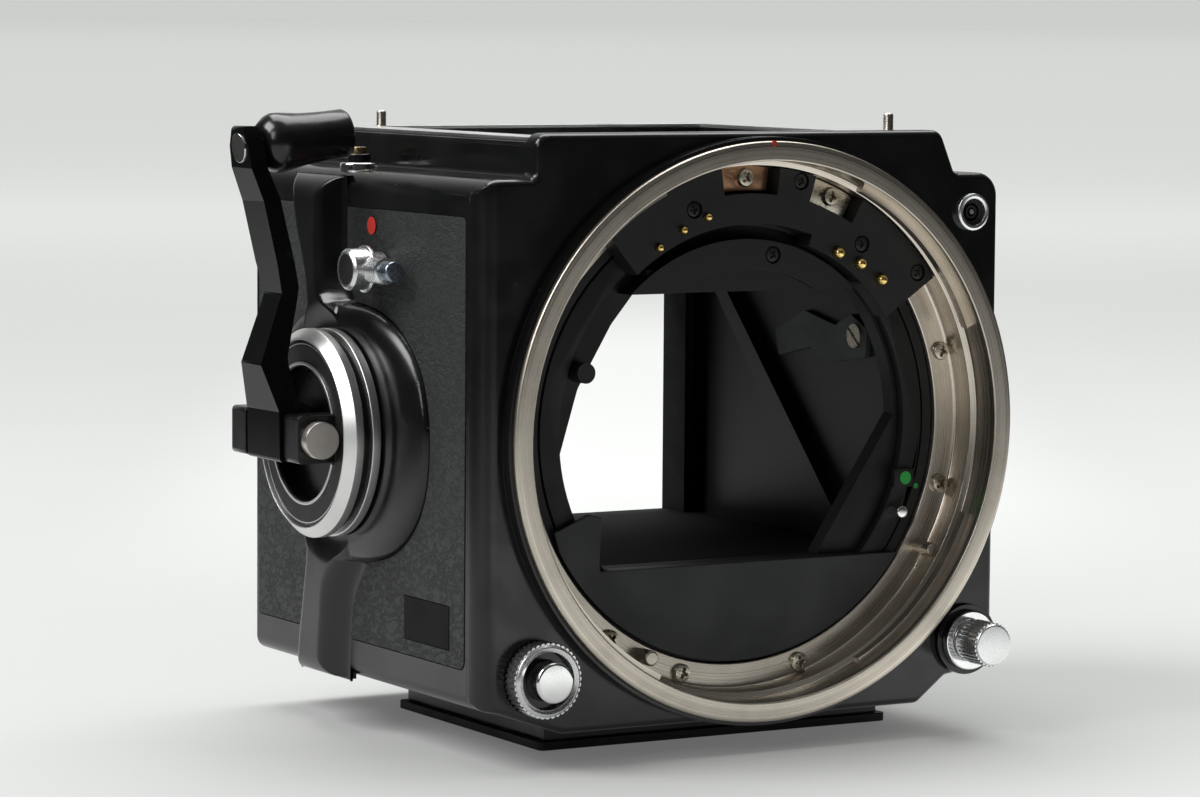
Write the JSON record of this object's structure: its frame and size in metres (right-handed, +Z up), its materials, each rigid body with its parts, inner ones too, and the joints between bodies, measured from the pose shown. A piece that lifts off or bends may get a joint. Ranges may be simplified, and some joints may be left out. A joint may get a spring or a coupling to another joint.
{
  "type": "medium format film camera",
  "caption": "Box-shaped medium format reflex film camera body with a large bayonet lens mount, a folding winding crank, a swinging mirror and an open finder seat.",
  "frame": {"origin": "centre of the tripod socket's mouth, on the underside of the tripod plate", "axes": "+Z up, -Y out of the lens mount, -X towards the winding crank, +X towards the speed dial"},
  "size_m": [0.0984, 0.0719, 0.0806],
  "materials": {
    "black_paint": "glossy black enamel",
    "matt_black": "matt black anti-reflection paint",
    "leatherette": "fine grained grey-black",
    "mount_chrome": "satin turned chrome",
    "bright_chrome": "polished",
    "steel": "machined",
    "brass": "gilt contact finish",
    "black_plastic": "moulded black",
    "gloss_plastic": "moulded black, glossy",
    "blackened": "blackened steel",
    "bare_alloy": "satin alloy",
    "mirror": "front silvered",
    "screen": "ground glass",
    "board": "green laminate",
    "foam": "black foam seal",
    "cell": "nickelled can"
  },
  "bodies": {
    "camera_body": {"front_panel": "black_paint", "lens_mount_ring": "mount_chrome", "front_aperture_plate": "matt_black", "lower_baffle_panel": "matt_black", "upper_contact_block": "black_plastic", "lower_contact_plate": "black_plastic", "contact_brackets": "steel", "mount_screws": "steel", "leather_front_panel": "leatherette", "leather_rear_panel": "leatherette", "blank_badge_plate": "bare_alloy", "winder_side_cover": "black_paint", "far_side_cover": "black_paint", "leather_far_panel": "leatherette", "bottom_cover": "black_paint", "tripod_plate": "black_paint", "tripod_socket_insert": "steel", "mirror_box": "matt_black", "rear_frame": "matt_black", "rear_light_seal": "foam", "cover_screws": "steel", "mirror_hinge_pins": "steel", "mirror_lift_lever": "blackened", "top_deck": "matt_black", "screen_frame": "matt_black", "focusing_screen": "screen", "finder_seat_rim": "bare_alloy", "finder_location_pins": "steel", "gear_studs": "steel", "accessory_socket": "bright_chrome", "flash_terminal": "bright_chrome", "finder_button_base": "bright_chrome", "battery": "cell", "circuit_board": "board", "release_magnet": "steel"},
    "crank": {"crank_dial": "gloss_plastic", "dial_chrome_rings": "bright_chrome", "winding_shaft": "steel", "drive_gear": "steel", "crank_hinge_pin": "bright_chrome"},
    "arm": {"crank_arm": "black_paint", "grip_axle": "steel"},
    "grip": {"crank_grip": "gloss_plastic"},
    "idler": {"idler_gear": "steel"},
    "output": {"output_gear": "steel"},
    "multi_lever": {"multi_exposure_lever": "blackened"},
    "finder_button": {"finder_release_button": "brass"},
    "release_button": {"shutter_release_button": "bright_chrome"},
    "lock_collar": {"release_lock_collar": "bright_chrome"},
    "cap": {"socket_cap": "blackened"},
    "mirror": {"mirror_holder": "bare_alloy", "mirror_glass": "mirror"},
    "flap": {"rear_baffle_flap": "matt_black"},
    "cocking": {"cocking_ring": "steel"},
    "lens_lever": {"lens_release_lever": "blackened"},
    "lock_pin": {"lens_lock_pin": "steel"},
    "speed_dial": {"shutter_speed_dial": "blackened"},
    "check_button": {"battery_check_button": "bright_chrome"},
    "battery_door": {"battery_lid": "black_plastic"},
    "contacts": {"contact_pins": "brass"}
  },
  "joints": [
    {"name": "crank_turn", "type": "hinge", "parent": "camera_body", "child": "crank", "pos_m": [-0.044, 0.0054, 0.0391], "axis": [1, 0, 0], "continuous": true},
    {"name": "crank_flip", "type": "hinge", "parent": "crank", "child": "arm", "pos_m": [-0.05, 0.0054, 0.0392], "axis": [0, -1, 0], "range_deg": [0, 165]},
    {"name": "grip_spin", "type": "hinge", "parent": "arm", "child": "grip", "pos_m": [-0.0564, 0.0054, 0.0757], "axis": [0.9932, 0, 0.1167], "continuous": true},
    {"name": "idler_spin", "type": "hinge", "parent": "camera_body", "child": "idler", "pos_m": [-0.036, 0.01851, 0.02908], "axis": [1, 0, 0], "continuous": true},
    {"name": "output_spin", "type": "hinge", "parent": "camera_body", "child": "output", "pos_m": [-0.036, 0.0286, 0.02012], "axis": [1, 0, 0], "continuous": true},
    {"name": "multi_exposure_turn", "type": "hinge", "parent": "camera_body", "child": "multi_lever", "pos_m": [-0.043, -0.0039, 0.0606], "axis": [-1, 0, 0], "range_deg": [0, 90]},
    {"name": "finder_release_press", "type": "slide", "parent": "camera_body", "child": "finder_button", "axis": [0, 0, -1], "range_m": [0, 0.0012], "stiffness_N_per_m": 300, "springref_m": -0.001},
    {"name": "shutter_release_press", "type": "slide", "parent": "camera_body", "child": "release_button", "axis": [0, 1, 0], "range_m": [0, 0.0016], "stiffness_N_per_m": 400, "springref_m": -0.001},
    {"name": "lock_collar_turn", "type": "hinge", "parent": "camera_body", "child": "lock_collar", "pos_m": [-0.03215, -0.031, 0.0111], "axis": [0, -1, 0], "range_deg": [0, 90]},
    {"name": "socket_cap_turn", "type": "hinge", "parent": "camera_body", "child": "cap", "pos_m": [0.0315, -0.033, 0.0119], "axis": [0, -1, 0], "continuous": true},
    {"name": "mirror_swing", "type": "hinge", "parent": "camera_body", "child": "mirror", "pos_m": [0, 0.0272, 0.0654], "axis": [1, 0, 0], "range_deg": [0, 45], "stiffness_Nm_per_rad": 0.01, "springref_deg": -45.84},
    {"name": "flap_swing", "type": "hinge", "parent": "camera_body", "child": "flap", "pos_m": [0, 0.0265, 0.0613], "axis": [1, 0, 0], "range_deg": [0, 90.1]},
    {"name": "cocking_turn", "type": "hinge", "parent": "camera_body", "child": "cocking", "pos_m": [0, -0.0227, 0.0404], "axis": [0, -1, 0], "range_deg": [0, 40]},
    {"name": "lens_lever_slide", "type": "slide", "parent": "camera_body", "child": "lens_lever", "axis": [0, 1, 0], "range_m": [0, 0.004], "stiffness_N_per_m": 200, "springref_m": -0.001},
    {"name": "lock_pin_slide", "type": "slide", "parent": "camera_body", "child": "lock_pin", "axis": [0, 1, 0], "range_m": [0, 0.0035]},
    {"name": "speed_dial_turn", "type": "hinge", "parent": "camera_body", "child": "speed_dial", "pos_m": [0.038, 0.008, 0.052], "axis": [1, 0, 0], "range_deg": [-150, 150]},
    {"name": "battery_check_press", "type": "slide", "parent": "camera_body", "child": "check_button", "axis": [-1, 0, 0], "range_m": [0, 0.0012], "stiffness_N_per_m": 300, "springref_m": -0.001},
    {"name": "battery_lid_swing", "type": "hinge", "parent": "camera_body", "child": "battery_door", "pos_m": [0, 0.0311, 0.0043], "axis": [1, 0, 0], "range_deg": [0, 90]},
    {"name": "contact_press", "type": "slide", "parent": "camera_body", "child": "contacts", "axis": [0, 1, 0], "range_m": [0, 0.0005], "stiffness_N_per_m": 300, "springref_m": -0.0005}
  ],
  "couplings": [
    {"joint": "idler_spin", "follows": "crank_turn", "ratio": -1.2},
    {"joint": "output_spin", "follows": "crank_turn", "ratio": 1.5},
    {"joint": "flap_swing", "follows": "mirror_swing", "ratio": 2},
    {"joint": "cocking_turn", "follows": "mirror_swing", "ratio": 0.88},
    {"joint": "lock_pin_slide", "follows": "lens_lever_slide", "ratio": 0.875}
  ]
}
